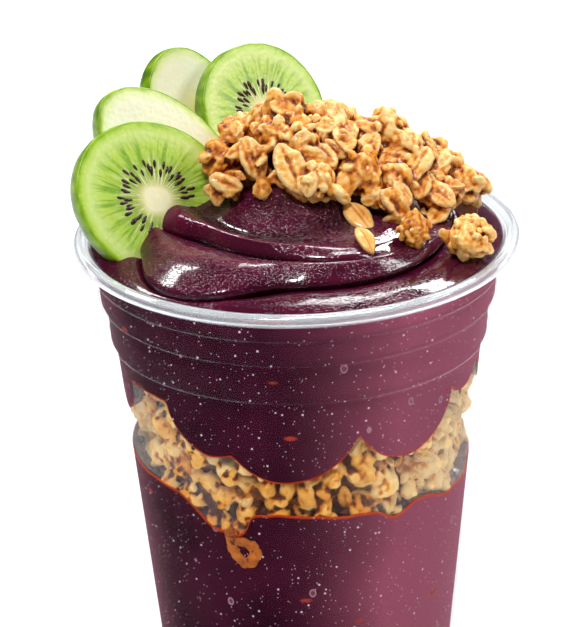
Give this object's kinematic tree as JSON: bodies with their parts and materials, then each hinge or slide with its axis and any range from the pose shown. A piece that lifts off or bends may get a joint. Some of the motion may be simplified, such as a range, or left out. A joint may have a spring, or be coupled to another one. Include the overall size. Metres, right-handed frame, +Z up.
{
  "type": "acai cup",
  "caption": "Clear stepped tumbler of layered acai and granola under a folded acai swirl, with a fan of kiwi slices and a heap of granola clusters.",
  "frame": {"origin": "centre of the cup's base, on the surface it stands on", "axes": "+Z up along the cup's axis, -Y towards the front that shows both loose oats, +X to the right of that front"},
  "size_m": [0.098, 0.098, 0.1523],
  "materials": {
    "clear_cup": "thin clear thermoformed plastic, glossy",
    "acai": null,
    "granola": null,
    "kiwi": null
  },
  "bodies": {
    "root": {"cup": "clear_cup", "acai_lower": "acai", "granola_layer": "granola", "acai_upper": "acai", "kiwi_slice_front": "kiwi", "kiwi_slice_side": "kiwi", "kiwi_slice_end": "kiwi", "kiwi_slice_back": "kiwi", "granola_heap": "granola", "granola_cluster_large": "granola", "granola_cluster_small": "granola"}
  },
  "joints": []
}
